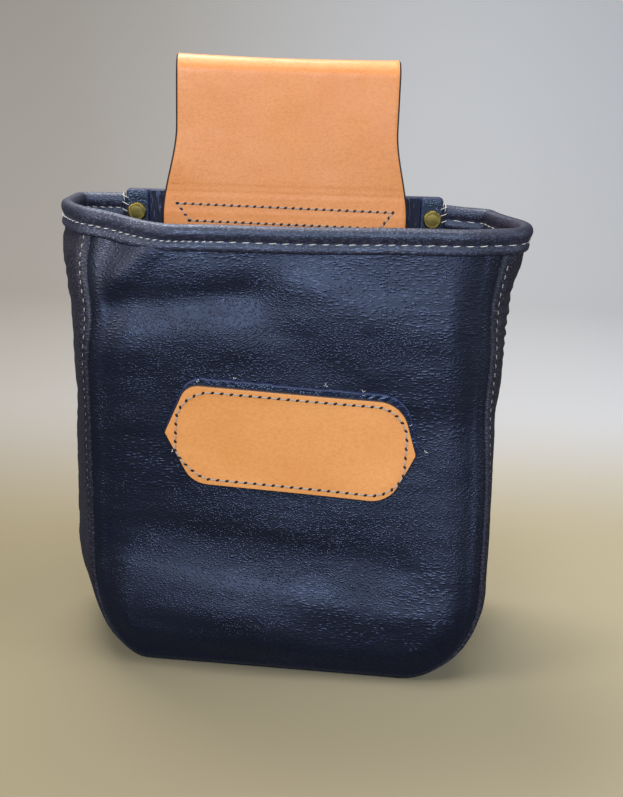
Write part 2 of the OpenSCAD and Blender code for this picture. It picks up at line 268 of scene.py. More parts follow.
def gusset_surface(tau, v):
    """Outer surface of the gusset on a grid of stations tau and depth fractions v."""
    tau, v = np.broadcast_arrays(tau, v)
    fx, fz, fnx, fnz = u_outline(tau, FRONT_HALF, FRONT_LEFT_CORNER, FRONT_RIGHT_CORNER)
    bx, bz, bnx, bnz = u_outline(tau, BACK_HALF, BACK_CORNER, BACK_CORNER)
    x = fx + (bx - fx) * v
    z = fz + (bz - fz) * v
    nx = fnx + (bnx - fnx) * v
    nz = fnz + (bnz - fnz) * v
    y = SEAM_Y + DEPTH * v
    at = np.stack([x, y, z], axis=-1)
    lifted = smooth(z / 22.0)
    high = smooth((z - 140) / 60.0)
    out = side_bow(z, v)
    middle = np.sin(np.pi * v) ** 0.7
    out = out + lifted * middle * 1.5 * layered_noise(at, (60, 45, 38), 3, 2)
    out = out + lifted * middle * (0.45 + 0.5 * high) * layered_noise(at, (26, 20, 7), 11, 3)
    # short creases where the right front corner is squeezed
    creased = bump_at(z, 186, 17) * bump_at(v, 0.13, 0.11) * (x > 0)
    wander = 1.5 * layered_noise(at, (20, 20, 20), 15, 2)
    out = out + 0.6 * creased * np.cos(z * 1.15 + 9.0 * v + wander)
    under_rim = 1 - smooth((z - (WALL_TOP - 14)) / 6.0)
    from_front = np.hypot(v * DEPTH, side_bow(z, v))
    from_back = (1 - v) * DEPTH * 1.1
    out = out + lifted * under_rim * (seam_band(from_front) + seam_band(from_back))
    p = np.stack([x + nx * out, y, z + nz * out], axis=-1)
    return settle(p)


def edge_distance(x, z):
    """Distance in from the front panel's edge."""
    rx = np.where(x < 0, FRONT_LEFT_CORNER[0], FRONT_RIGHT_CORNER[0])
    rz = np.where(x < 0, FRONT_LEFT_CORNER[1], FRONT_RIGHT_CORNER[1])
    cx = np.maximum(np.abs(x) - (FRONT_HALF - rx), 1e-6)
    cz = np.maximum(rz - z, 1e-6)
    share = np.hypot(cx / rx, cz / rz)
    in_corner = (cx > 1e-6) & (cz > 1e-6)
    from_corner = np.hypot(cx, cz) * (1 / share - 1)
    return np.where(in_corner, from_corner, np.minimum(FRONT_HALF - np.abs(x), z))


def ridge(x, z, a, b, width):
    """Height, 0 to 1, of a soft ridge along a line from a to b that fades beyond its ends."""
    a, b = np.array(a, float), np.array(b, float)
    run = b - a
    length = np.linalg.norm(run)
    run = run / length
    along = (x - a[0]) * run[0] + (z - a[1]) * run[1]
    off = -(x - a[0]) * run[1] + (z - a[1]) * run[0]
    fade = smooth((along / width + 2) / 3.0) * smooth(((length - along) / width + 2) / 3.0)
    return np.exp(-(off / width) ** 2) * fade


PATCH_CENTRE = sum(node_box("front_patch")) / 2
PATCH_LENGTH = 122.0
PATCH_HEIGHT = 51.0
PATCH_TILT = math.radians(-3.5)


def broad_crown(x, z):
    """How far the front panel stands forward of its seam, without its small creases: it bellies
    out above the base and swells again below the rim."""
    d = edge_distance(x, z)
    roll = 1 - (1 - np.clip(d / 22.0, 0, 1)) ** 2
    belly = 3.4 * bump_at(z, 27, 27) + 4.4 * bump_at(x, -34, 48) * bump_at(z + 0.12 * x, 31, 18)
    swell = 4.2 * bump_at(z - 0.04 * x, 179, 27) * (0.25 + 0.75 * smooth((x + 24) / 50.0))
    return (5.4 + belly + swell) * roll


# folds of the front panel, as height, start and end (x, z), and width
FOLDS = (
    # the tight fold at the left top corner, the valley under it and the slack beyond
    (2.4, FOLD_START, FOLD_END, 6.5),
    (-2.6, (-96, 190), (-18, 199), 9.0),
    (1.3, (-86, 171), (-8, 181), 12.0),
    (-1.6, (-14, 188), (20, 162), 11.0),
    (1.2, (0, 208), (40, 190), 9.0),
    (1.3, (52, 150), (92, 157), 13.0),
    # slack lines above and on the belly
    (0.8, (-84, 56), (20, 44), 7.0),
    (-0.9, (-70, 78), (60, 64), 9.0),
    (0.7, (10, 44), (84, 36), 8.0),
    (0.6, (-80, 22), (-30, 18), 6.0),
)


def panel_relief(x, z):
    """Folds and creases of the front panel, on top of its broad crown."""
    at = np.stack([x, 0 * x, z], axis=-1)
    d = edge_distance(x, z)
    # the hollow behind the tight fold at the left top corner
    relief = -1.0 * bump_at(x, -84, 12) * bump_at(z, 214, 8)
    for height, start, end, width in FOLDS:
        relief = relief + height * ridge(x, z, start, end, width)
    relief = relief + 0.8 * layered_noise(at, (80, 60, 40), 21, 2)
    relief = relief + 0.16 * layered_noise(at, (26, 30, 9.0), 27, 3)
    # the turned edge along the seam
    relief = relief * smooth(d / 14.0)
    relief = relief + 0.9 * bump_at(d, 4.0, 2.6) - 0.9 * bump_at(d, 0.0, 1.2)
    # pressed flat behind the patch
    px, pz = x - PATCH_CENTRE[0], z - PATCH_CENTRE[2]
    under = smooth((1.22 - np.hypot(px / (PATCH_LENGTH / 2), pz / (PATCH_HEIGHT / 2))) / 0.35)
    relief = relief * (1 - under)
    # pulled in under the binding's stitches
    return relief * (1 - 0.8 * smooth((z - (WALL_TOP - 12)) / 8.0))


def panel_point(x, z, forward=0.0):
    """A point of the front panel's outer face, moved forward along -Y, in its settled place."""
    y = SEAM_Y - broad_crown(x, z) - panel_relief(x, z) - forward
    return settle(np.stack([x, y, z], axis=-1))


def patch_point(u, w, forward):
    """A point on or above the patch: u and w run along and across the patch from its centre."""
    c, s = math.cos(PATCH_TILT), math.sin(PATCH_TILT)
    x = PATCH_CENTRE[0] - 4.3 + c * u - s * w
    z = PATCH_CENTRE[2] + s * u + c * w
    y = SEAM_Y - broad_crown(x, z) - forward
    return settle(np.stack([x + 0 * y, y, z + 0 * y], axis=-1))


# ---------------------------------------------------------------- meshes

def make_piece(name, points, faces, body, materials, replaced=(), face_material=None):
    """A smooth-shaded mesh from points in millimetres, riding on a body of the frame."""
    mesh = bpy.data.meshes.new(name)
    mesh.from_pydata((np.asarray(points, float).reshape(-1, 3) * MM).tolist(), [], faces)
    for material in materials:
        mesh.materials.append(material)
    mesh.polygons.foreach_set("use_smooth", [True] * len(mesh.polygons))
    if face_material is not None:
        mesh.polygons.foreach_set("material_index", face_material)
    mesh.validate()
    mesh.update()
    piece = bpy.data.objects.new(name, mesh)
    bpy.context.scene.collection.objects.link(piece)
    fix_normals(piece)
    if replaced:
        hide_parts(*replaced)
    if body:
        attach(piece, body)
    return piece


def fix_normals(piece):
    """Turns every closed shell's faces outwards."""
    work = bmesh.new()
    work.from_mesh(piece.data)
    bmesh.ops.recalc_face_normals(work, faces=work.faces[:])
    work.to_mesh(piece.data)
    work.free()


def quad_grid(rows, columns, start=0, closed=False):
    """Faces between neighbouring rows of points. A closed grid joins each row's two ends."""
    faces = []
    for i in range(rows - 1):
        for j in range(columns if closed else columns - 1):
            a = start + i * columns + j
            b = start + i * columns + (j + 1) % columns
            faces.append((a, b, b + columns, a + columns))
    return faces


def leather_sheet(grid, thickness, flip=1.0):
    """Points and faces of a closed sheet of leather: an outer grid, its inner copy and their rim."""
    rows, columns = grid.shape[:2]
    normals = grid_normals(grid) * flip
    inner = grid - normals * thickness
    points = np.concatenate([grid.reshape(-1, 3), inner.reshape(-1, 3)])
    half = rows * columns
    faces = quad_grid(rows, columns)
    faces += [tuple(reversed(f)) for f in quad_grid(rows, columns, half)]
    border = list(range(columns))
    border += [i * columns + columns - 1 for i in range(1, rows)]
    border += [(rows - 1) * columns + j for j in range(columns - 2, -1, -1)]
    border += [i * columns for i in range(rows - 2, 0, -1)]
    for k, a in enumerate(border):
        b = border[(k + 1) % len(border)]
        faces.append((b, a, a + half, b + half))
    return points, faces


def ring_loft(rings):
    """Points and faces of a loft through equal rings, with flat ends."""
    rings = np.asarray(rings, float)
    count, size = rings.shape[:2]
    faces = quad_grid(count, size, closed=True)
    faces.append(tuple(range(size)))
    faces.append(tuple(reversed(range((count - 1) * size, count * size))))
    return rings.reshape(-1, 3), faces


def outline_normals(outline):
    """Outward normals of a closed outline."""
    normals = path_normals(outline, closed=True)
    if np.sum((outline - outline.mean(axis=0)) * normals) < 0:
        normals = -normals
    return normals


def slab(outline, thickness, edge, place, rings):
    """A cut piece of stiff leather: a convex outline in the plane, rounded at both edges. place(u, w, t)
    gives the point at height t above the surface it lies on. Returns points, faces and which
    faces are the cut edge."""
    middle = outline.mean(axis=0)
    normals = outline_normals(outline)
    size = len(outline)
    # each layer is an inset from the outline, a share of its size and a height
    layers = []
    for step in range(rings - 1, -1, -1):
        share = 1 - step / rings
        layers.append((edge, share, 0.0))
    turns = 4
    for k in range(1, turns + 1):
        angle = math.radians(90 * k / turns)
        layers.append((edge * (1 - math.sin(angle)), 1.0, edge * (1 - math.cos(angle))))
    for k in range(0, turns + 1):
        angle = math.radians(90 * k / turns)
        layers.append((edge * (1 - math.cos(angle)), 1.0, thickness - edge * (1 - math.sin(angle))))
    for step in range(1, rings):
        share = 1 - step / rings
        layers.append((edge, share, thickness))
    points = []
    for inset, share, height in layers:
        ring = middle + (outline - normals * inset - middle) * share
        points.append(place(ring[:, 0], ring[:, 1], height))
    points = np.concatenate(points)
    faces = quad_grid(len(layers), size, closed=True)
    edge_first, edge_last = rings - 1, rings + 2 * turns
    cut_edge = [1 if edge_first <= f // size < edge_last else 0 for f in range(len(faces))]
    low = place(middle[:1], middle[1:], 0.0)
    high = place(middle[:1], middle[1:], thickness)
    start = len(points)
    points = np.concatenate([points, low, high])
    top = (len(layers) - 1) * size
    for j in range(size):
        faces.append((start, (j + 1) % size, j))
        faces.append((start + 1, top + j, top + (j + 1) % size))
        cut_edge += [0, 0]
    return points, faces, cut_edge


def tube(line, radius, sides=7, up=(0, -1, 0)):
    """Points and faces of a round thread along a short line, thinner at its two ends."""
    line = np.asarray(line, float)
    t = np.gradient(line, axis=0)
    t = t / np.linalg.norm(t, axis=1, keepdims=True)
    side = np.cross(t, np.asarray(up, float))
    side = side / np.maximum(np.linalg.norm(side, axis=1, keepdims=True), 1e-9)
    top = np.cross(side, t)
    around = np.linspace(0, 2 * math.pi, sides, endpoint=False)[:, None]
    rings = []
    for k in range(len(line)):
        share = k / (len(line) - 1)
        r = radius * (0.45 + 0.55 * math.sin(math.pi * share) ** 0.5)
        rings.append(line[k] + r * (np.cos(around) * side[k] + np.sin(around) * top[k]))
    return ring_loft(rings)


def join(parts):
    """Joins (points, faces) pairs into one."""
    all_points, all_faces, start = [], [], 0
    for points, faces in parts:
        all_points.append(points)
        all_faces += [tuple(start + i for i in f) for f in faces]
        start += len(points)
    return np.concatenate(all_points), all_faces


# ---------------------------------------------------------------- materials

def node_tree(name):
    """A new material with one Principled shader. Returns it, its node tree and the shader."""
    material = bpy.data.materials.new(name)
    material.use_nodes = True
    tree = material.node_tree
    tree.nodes.clear()
    out = tree.nodes.new("ShaderNodeOutputMaterial")
    shader = tree.nodes.new("ShaderNodeBsdfPrincipled")
    tree.links.new(shader.outputs[0], out.inputs[0])
    return material, tree, shader


class Nodes:
    """Short ways to add nodes to one material."""

    def __init__(self, tree):
        self.tree = tree

    def add(self, kind, settings=None, **inputs):
        node = self.tree.nodes.new(kind)
        for key, value in (settings or {}).items():
            setattr(node, key, value)
        for key, value in inputs.items():
            self.feed(node, key.replace("_", " "), value)
        return node

    def feed(self, node, socket, value):
        target = node.inputs[int(socket)] if socket.isdigit() else node.inputs[socket]
        if isinstance(value, bpy.types.NodeSocket):
            self.tree.links.new(value, target)
        else:
            target.default_value = value

    def place(self, stretch):
        """Object coordinates in metres, stretched."""
        coords = self.add("ShaderNodeTexCoord")
        mapping = self.add("ShaderNodeMapping", Vector=coords.outputs["Object"], Scale=stretch)
        return mapping.outputs[0]

    def noise(self, vector, scale, detail=3.0, rough=0.5, distort=0.0):
        node = self.add("ShaderNodeTexNoise", Vector=vector, Scale=scale, Detail=detail,
                        Roughness=rough, Distortion=distort)
        return node.outputs["Fac"]

    def cells(self, vector, scale, feature="DISTANCE_TO_EDGE"):
        node = self.add("ShaderNodeTexVoronoi", {"feature": feature}, Vector=vector, Scale=scale)
        return node.outputs["Distance"]

    def ramp(self, value, low, high, to_low=0.0, to_high=1.0):
        """A soft step of a value between low and high."""
        node = self.add("ShaderNodeMapRange", {"interpolation_type": "SMOOTHSTEP"})
        for socket, given in zip(("Value", "From Min", "From Max", "To Min", "To Max"),
                                 (value, low, high, to_low, to_high)):
            self.feed(node, socket, given)
        return node.outputs[0]

    def math(self, operation, a, b=0.0):
        node = self.add("ShaderNodeMath", {"operation": operation})
        self.feed(node, "0", a)
        self.feed(node, "1", b)
        return node.outputs[0]

    def mix(self, factor, a, b):
        node = self.add("ShaderNodeMix", {"data_type": "RGBA"})
        self.feed(node, "0", factor)
        self.feed(node, "6", a)
        self.feed(node, "7", b)
        return node.outputs[2]

    def blend(self, factor, a, b):
        """A value between a and b."""
        node = self.add("ShaderNodeMix", {"data_type": "FLOAT"})
        for socket, value in zip("023", (factor, a, b)):
            self.feed(node, socket, value)
        return node.outputs[0]

    def bump(self, height, strength, distance):
        return self.add("ShaderNodeBump", Height=height, Strength=strength,
                        Distance=distance).outputs[0]


def colour(r, g, b):
    """Linear colour from 0 to 255 display values."""
    def linear(c):
        c = c / 255.0
        return c / 12.92 if c <= 0.04045 else ((c + 0.055) / 1.055) ** 2.4
    return (linear(r), linear(g), linear(b), 1.0)


PEBBLE_SIZE = 1.0             # across one grain of the soft leather


def soft_leather(name, base, light, rough, grain=1.0, tint=(0.75, 0.86, 1.0), level=0.8):
    """Drummed soft leather: small domed pebbles drawn out sideways, long creases in some places, and uneven
    gloss.
    The gaps between the pebbles are darkened in colour as painted shade."""
    material, tree, shader = node_tree(name)
    n = Nodes(tree)
    wide = n.place((0.72, 1.0, 1.1))
    drift = n.add("ShaderNodeTexNoise", Vector=wide, Scale=300.0, Detail=2.0).outputs["Color"]
    bent = n.add("ShaderNodeVectorMath", {"operation": "MULTIPLY_ADD"})
    for socket, value in zip("012", (drift, (0.0016, 0.0016, 0.0016), wide)):
        n.feed(bent, socket, value)
    drawn = n.add("ShaderNodeMapping", Vector=bent.outputs[0], Scale=(0.55, 0.7, 1.0))
    scale = 1.0 / (PEBBLE_SIZE * MM)
    dome = n.ramp(n.cells(bent.outputs[0], scale, "F1"), 0.08, 0.6, 1.0, 0.0)
    crease = n.ramp(n.cells(drawn.outputs[0], scale * 0.8, "F1"), 0.12, 0.6, 1.0, 0.0)
    creased = n.ramp(n.noise(wide, 15.0, 2.0), 0.46, 0.6, 0.0, 0.8)
    grain_height = n.blend(creased, dome, crease)
    swollen = n.ramp(n.noise(wide, 110.0, 2.0), 0.3, 0.7, 0.6, 1.0)
    height = n.math("MULTIPLY", n.math("MULTIPLY", grain_height, swollen), grain)
    height = n.math("ADD", height, n.math("MULTIPLY", n.noise(wide, 900.0, 2.0), 0.3 * grain))
    tone = n.mix(n.ramp(n.noise(wide, 16.0, 3.0), 0.3, 0.7, 0.0, 0.5), base, light)
    # painted shade: the gaps between pebbles are darkened towards a quarter of the base colour
    painted_gap_shade = tuple(c * 0.25 for c in base[:3]) + (1.0,)
    n.feed(shader, "Base Color", n.mix(n.ramp(grain_height, 0.05, 0.5, 0.9, 0.0), tone, painted_gap_shade))
    gloss = n.ramp(n.noise(wide, 38.0, 3.0), 0.25, 0.75, rough - 0.04, rough + 0.05)
    n.feed(shader, "Roughness", n.math("ADD", gloss, n.ramp(grain_height, 0.0, 0.45, 0.15, 0.0)))
    n.feed(shader, "Normal", n.bump(height, 1.0, 0.00019))
    shader.inputs["Specular IOR Level"].default_value = level
    shader.inputs["Specular Tint"].default_value = tint + (1.0,)
    return material


def tanned_leather(name, base, dark, light, rough=0.42):
    """Smooth vegetable-tanned leather: fine pores, cloudy tone and soft rub marks."""
    material, tree, shader = node_tree(name)
    n = Nodes(tree)
    plain = n.place((1.0, 1.0, 1.0))
    cloud = n.ramp(n.noise(plain, 22.0, 4.0, 0.6), 0.3, 0.72)
    tone = n.mix(n.math("MULTIPLY", cloud, 0.5), base, light)
    fibre = n.ramp(n.noise(n.place((1.0, 1.0, 1.5)), 560.0, 4.0, 0.75), 0.38, 0.7)
    tone = n.mix(n.math("MULTIPLY", fibre, 0.36), tone, dark)
    blotch = n.ramp(n.noise(plain, 9.0, 2.0), 0.52, 0.8)
    tone = n.mix(n.math("MULTIPLY", blotch, 0.35), tone, dark)
    n.feed(shader, "Base Color", tone)
    gloss = n.ramp(n.noise(plain, 60.0, 3.0), 0.3, 0.7, rough - 0.06, rough + 0.08)
    n.feed(shader, "Roughness", gloss)
    pores = n.ramp(n.cells(plain, 1500.0), 0.0, 0.25)
    fine = n.noise(plain, 700.0, 4.0)
    height = n.math("ADD", n.math("MULTIPLY", pores, 0.35), n.math("MULTIPLY", fine, 0.6))
    n.feed(shader, "Normal", n.bump(height, 0.3, 0.00022))
    shader.inputs["Specular IOR Level"].default_value = 0.5
    return material


def rough_suede(name, base, light):
    """Flesh side of the hide: matt, fibrous and scuffed."""
    material, tree, shader = node_tree(name)
    n = Nodes(tree)
    drawn = n.place((3.2, 1.0, 0.8))
    fibre = n.noise(drawn, 520.0, 6.0, 0.75, 1.2)
    scuff = n.ramp(n.noise(n.place((3.0, 1.0, 0.4)), 260.0, 4.0, 0.7, 1.2), 0.54, 0.68)
    n.feed(shader, "Base Color", n.mix(n.math("MULTIPLY", scuff, 0.75), base, light))
    n.feed(shader, "Roughness", n.ramp(fibre, 0.3, 0.7, 0.7, 0.92))
    n.feed(shader, "Normal", n.bump(n.math("ADD", fibre, scuff), 0.8, 0.0005))
    shader.inputs["Specular IOR Level"].default_value = 0.35
    shader.inputs["Sheen Weight"].default_value = 0.25
    return material


def dyed_edge(name, base):
    """Cut leather edge, dyed and rubbed smooth."""
    material, tree, shader = node_tree(name)
    n = Nodes(tree)
    layers = n.noise(n.place((1.0, 1.0, 1.0)), 900.0, 4.0, 0.7)
    light = tuple(min(1.0, c * 2.4 + 0.01) for c in base[:3]) + (1.0,)
    n.feed(shader, "Base Color", n.mix(n.ramp(layers, 0.4, 0.8, 0.0, 0.5), base, light))
    n.feed(shader, "Roughness", n.ramp(layers, 0.3, 0.7, 0.36, 0.55))
    n.feed(shader, "Normal", n.bump(layers, 0.5, 0.0003))
    return material


def waxed_thread(name, base):
    """Twisted waxed thread."""
    material, tree, shader = node_tree(name)
    n = Nodes(tree)
    turned = n.add("ShaderNodeMapping", Vector=n.place((1.0, 1.0, 1.0)), Rotation=(0.5, 0.3, 0.8))
    strand = n.add("ShaderNodeTexWave", {"wave_type": "BANDS"}, Vector=turned.outputs[0], Scale=900.0,
                   Distortion=1.0)
    shade = tuple(c * 0.55 for c in base[:3]) + (1.0,)
    n.feed(shader, "Base Color", n.mix(strand.outputs["Fac"], shade, base))
    n.feed(shader, "Roughness", n.ramp(strand.outputs["Fac"], 0.0, 1.0, 0.6, 0.45))
    n.feed(shader, "Normal", n.bump(strand.outputs["Fac"], 0.6, 0.0001))
    return material


def aged_brass(name, base, tarnish):
    """Turned brass with light tarnish and fine scratches."""
    material, tree, shader = node_tree(name)
    n = Nodes(tree)
    scratch = n.noise(n.place((1.0, 1.0, 9.0)), 900.0, 4.0, 0.7)
    dull = n.ramp(n.noise(n.place((1.0, 1.0, 1.0)), 420.0, 4.0), 0.35, 0.7)
    n.feed(shader, "Base Color", n.mix(n.math("MULTIPLY", dull, 0.6), base, tarnish))
    n.feed(shader, "Roughness", n.ramp(scratch, 0.3, 0.7, 0.3, 0.5))
    n.feed(shader, "Normal", n.bump(scratch, 0.25, 0.00006))
    shader.inputs["Metallic"].default_value = 1.0
    return material


NAVY = soft_leather("navy_soft_leather", colour(10, 11, 24), colour(19, 21, 43), 0.36,
                    tint=(0.60, 0.69, 1.0))
CHOCOLATE = soft_leather("chocolate_soft_leather", colour(44, 37, 50), colour(66, 57, 74), 0.42, level=0.6)
BINDING = soft_leather("chocolate_binding_leather", colour(50, 46, 64), colour(74, 70, 94), 0.38, grain=0.9,
                       tint=(0.66, 0.78, 1.0), level=0.9)
PLATE = soft_leather("navy_plate_leather", colour(17, 21, 37), colour(28, 35, 58), 0.26, grain=0.4,
                     tint=(0.62, 0.76, 1.0))
BACKING = soft_leather("navy_backing_leather", colour(16, 26, 58), colour(30, 46, 92), 0.20, grain=0.7,
                       tint=(0.62, 0.78, 1.0))
TAN = tanned_leather("tan_leather", colour(230, 144, 76), colour(190, 106, 50), colour(240, 162, 96))
PATCH_TAN = tanned_leather("tan_patch_leather", colour(226, 148, 78), colour(198, 118, 58),
                           colour(238, 168, 98), 0.5)
EDGE_DARK = dyed_edge("dyed_edge_dark", colour(42, 28, 28))
EDGE_BLUE = dyed_edge("dyed_edge_navy", colour(20, 32, 66))
SUEDE = rough_suede("navy_suede", colour(14, 20, 42), colour(92, 106, 142))
FLESH = rough_suede("tan_flesh_side", colour(176, 122, 78), colour(206, 160, 116))
LINING = rough_suede("dark_flesh_side", colour(52, 50, 60), colour(84, 82, 94))
THREAD = waxed_thread("white_thread", colour(226, 222, 214))
GREY_THREAD = waxed_thread("grey_thread", colour(178, 172, 166))
# painted shade: stitch holes are near-black discs on the leather, standing in for the shade inside each hole
HOLE_SHADE = dyed_edge("stitch_hole_painted_shade", colour(20, 9, 8))
BRASS = aged_brass("aged_brass", colour(138, 118, 62), colour(84, 80, 46))


# ---------------------------------------------------------------- soft walls

GRID_STEP = 1.15


def stations(step=GRID_STEP):
    """Values of tau at even spacing round the U outline."""
    lengths = [
        WALL_TOP - FRONT_LEFT_CORNER[1],
        sum(FRONT_LEFT_CORNER) * math.pi / 4,
        2 * FRONT_HALF - FRONT_LEFT_CORNER[0] - FRONT_RIGHT_CORNER[0],
        sum(FRONT_RIGHT_CORNER) * math.pi / 4,
        WALL_TOP - FRONT_RIGHT_CORNER[1],
    ]
    values = []
    for zone, length in enumerate(lengths):
        count = max(2, int(round(length / step)))
        values += [zone + k / count for k in range(count)]
    return np.array(values + [5.0])


def corner_width(z, corner):
    """How far a side has moved in at a height, below the top of its round corner."""
    along, up = corner
    drop = np.clip(1 - z / up, 0, 1)
    return along * (1 - np.sqrt(1 - drop ** 2))


def wall_rows(turn_height):
    """Heights of a wall's rows: dense round the lower corners, then even."""
    turn = np.radians(np.linspace(0, 90, 60))
    corner_rows = turn_height * (1 - np.cos(turn))
    count = int((WALL_TOP - turn_height) / GRID_STEP)
    return np.concatenate([corner_rows, np.linspace(turn_height, WALL_TOP, count)[1:]])


def sewn_wall(node, points, faces, leather):
    """A soft wall of the bag, smooth outside and with the flesh side of its leather inside."""
    half = len(points) // 2
    inner = [1 if min(f) >= half else 0 for f in faces]
    make_piece(node + "_leather", points, faces, "bag", [leather, LINING], [node], inner)


def front_panel():
    """The crowned front wall, with its folds."""
    rows = wall_rows(FRONT_LEFT_CORNER[1])
    across = np.linspace(-1, 1, 175)
    share = (0.75 * across + 0.25 * np.sin(across * math.pi / 2) + 1) / 2
    z = np.repeat(rows[:, None], len(share), axis=1)
    x_left = -FRONT_HALF + corner_width(z, FRONT_LEFT_CORNER)
    x_right = FRONT_HALF - corner_width(z, FRONT_RIGHT_CORNER)
    grid = panel_point(x_left + (x_right - x_left) * share, z)
    points, faces = leather_sheet(grid, SKIN, flip=front_sign(grid))
    sewn_wall("front_panel", points, faces, NAVY)


def front_sign(grid):
    """1 or -1, so that a sheet's normals point to -Y."""
    normals = grid_normals(grid)
    return 1.0 if normals[..., 1].mean() < 0 else -1.0


def gusset():
    """The strip that makes both sides and the base, with denser rows beside its two seams."""
    tau = stations()
    near_seam = np.linspace(0, 9 / DEPTH, 14)
    v = np.unique(np.concatenate([np.linspace(0, 1, 76), near_seam, 1 - near_seam]))
    grid = gusset_surface(tau[:, None], v[None, :])
    normals = grid_normals(grid)
    nx, nz = u_outline(tau, FRONT_HALF, FRONT_LEFT_CORNER, FRONT_RIGHT_CORNER)[2:]
    outward = np.sum(normals[:, len(v) // 2, 0] * nx + normals[:, len(v) // 2, 2] * nz)
    points, faces = leather_sheet(grid, SKIN, flip=1.0 if outward > 0 else -1.0)
    points[:, 2] = np.maximum(points[:, 2], 0.0)
    sewn_wall("gusset", points, faces, CHOCOLATE)


def back_panel():
    """The flat back wall, with a gentle slack below the plate."""
    columns = np.linspace(-1, 1, 120)
    rows = wall_rows(BACK_CORNER[1])
    z = np.repeat(rows[:, None], len(columns), axis=1)
    half = BACK_HALF - corner_width(z, BACK_CORNER)
    x = half * columns[None, :]
    at = np.stack([x, 0 * x, z], axis=-1)
    edge = np.minimum(half - np.abs(x), z)
    below_plate = smooth((PLATE_LOW[2] - 6 - z) / 20.0)
    slack = smooth(edge / 25.0) * below_plate
    y = BACK_Y + SKIN + slack * (0.9 + 0.9 * layered_noise(at, (70, 60, 40), 41, 3))
    y = y + 0.5 * bump_at(edge, 4.0, 2.5) * below_plate
    grid = settle(np.stack([x, y, z], axis=-1))
    points, faces = leather_sheet(grid, SKIN, flip=-front_sign(grid))
    sewn_wall("back_panel", points, faces, NAVY)


# ---------------------------------------------------------------- rim binding

def mouth_path():
    """Plan path of the wall's middle round the mouth, from the left rivet tab round the front to the
    right one, before the bag settles."""
    v = np.linspace(0, 1, 60)
    fx = FRONT_HALF + (BACK_HALF - FRONT_HALF) * v + side_bow(WALL_TOP, v)
    side = np.stack([fx - SKIN / 2, SEAM_Y + DEPTH * v], axis=1)
    x = np.linspace(-FRONT_HALF, FRONT_HALF, 160)
    face = np.stack([x, SEAM_Y - broad_crown(x, np.full_like(x, WALL_TOP)) + SKIN / 2], axis=1)
    rear_y = BACK_Y + SKIN / 2
    left_side = side[::-1] * [-1, 1]
    rear_left = np.array([[-PLATE_HALF - 0.2, rear_y], [-BACK_HALF + 6.0, rear_y]])
    rear_right = rear_left[::-1] * [-1, 1]
    path = np.vstack([rear_left, left_side, face[2:-2], side, rear_right])
    path = resample(path, 1.0)
    weights = np.exp(-np.linspace(-2, 2, 13) ** 2)
    weights /= weights.sum()
    padded = np.vstack([np.repeat(path[:1], 6, axis=0), path, np.repeat(path[-1:], 6, axis=0)])
    path = np.stack([np.convolve(padded[:, k], weights, mode="valid") for k in (0, 1)], axis=1)
    return resample(path, 0.8)


MOUTH = mouth_path()
MOUTH_NORMAL = path_normals(MOUTH)
if np.sum(MOUTH_NORMAL * (MOUTH - MOUTH.mean(axis=0))) < 0:
    MOUTH_NORMAL = -MOUTH_NORMAL
MOUTH_RUN = np.r_[0, np.cumsum(np.linalg.norm(np.diff(MOUTH, axis=0), axis=1))]


def rim_stitch_places():
    """Distances along the mouth where each stitch of the binding begins, and its pitch. The machine
    ran short stitches round the left corner and long ones after it."""
    places = []
    at = 2.0
    long_from = MOUTH_RUN[-1] * 0.41
    while at < MOUTH_RUN[-1] - 4.0:
        pitch = 6.1 if at > long_from else 3.4
        places.append((at, pitch))
        at += pitch
    return places


RIM_STITCHES = rim_stitch_places()


def rim_point(run, out, drop):
    """A point of the rim at a distance along the mouth, out from the wall's middle, below the top."""
    run = np.asarray(run, float)
    x = np.interp(run, MOUTH_RUN, MOUTH[:, 0])
    y = np.interp(run, MOUTH_RUN, MOUTH[:, 1])
    nx = np.interp(run, MOUTH_RUN, MOUTH_NORMAL[:, 0])
    ny = np.interp(run, MOUTH_RUN, MOUTH_NORMAL[:, 1])
    wave = 0.5 * np.sin(run / 31.0) + 0.35 * np.sin(run / 13.0 + 1.0)
    z = RIM_TOP - drop + 0.6 * wave * smooth((120 - np.abs(x)) / 60.0)
    return settle(np.stack([x + nx * out, y + ny * out, z + 0 * x], axis=-1))


def rim_relief(run, drop):
    """Pulled-in spots at the stitches and small wrinkles of the binding."""
    pinch = 0.0
    for at, pitch in RIM_STITCHES:
        pinch = pinch + bump_at(run, at, 0.8) + bump_at(run, at + 0.62 * pitch, 0.8)
    pinch = np.minimum(pinch, 1.0) * bump_at(drop, BINDING_DROP, 1.1)
    at = np.stack([run, drop + 0 * run, 0 * run], axis=-1)
    wrinkles = 0.10 * layered_noise(at, (7, 5, 5), 61, 3) + 0.2 * layered_noise(at, (28, 9, 5), 65, 2)
    return wrinkles - 0.35 * pinch


def binding_profile():
    """Section of the binding as (out, drop) points, round the outside and back through the slot."""
    key = [
        (1.25, 12.2), (2.3, 12.3), (3.05, 11.4), (3.2, 10.2), (2.95, 9.0), (2.55, 7.9), (2.5, 7.3),
        (2.9, 6.4), (3.45, 5.0), (3.7, 3.6), (3.45, 2.1), (2.7, 0.9), (1.5, 0.2), (0.0, 0.0),
    ]
    outside = resample(np.array(key), 0.75)
    inside = outside[::-1][1:] * [-0.93, 1]
    slot = np.array([[-1.15, 8.0], [-1.15, 2.4], [1.15, 2.4], [1.15, 8.0]])
    return np.vstack([outside, inside, slot])


def rim_binding():
    """The strip folded over the rim, squeezed flat at its two cut ends."""
    out, drop = binding_profile().T
    outside = smooth((np.abs(out) - 1.6) / 0.8) * np.sign(out)
    rings = []
    for run in MOUTH_RUN:
        squeeze = 0.85 + 0.15 * smooth(min(run, MOUTH_RUN[-1] - run) / 1.2)
        moved = out * squeeze + outside * rim_relief(np.full_like(out, run), drop)
        rings.append(rim_point(np.full_like(out, run), moved, drop))
    points, faces = ring_loft(rings)
    make_piece("rim_binding_leather", points, faces, "bag", [BINDING],
               ["rim_binding"])


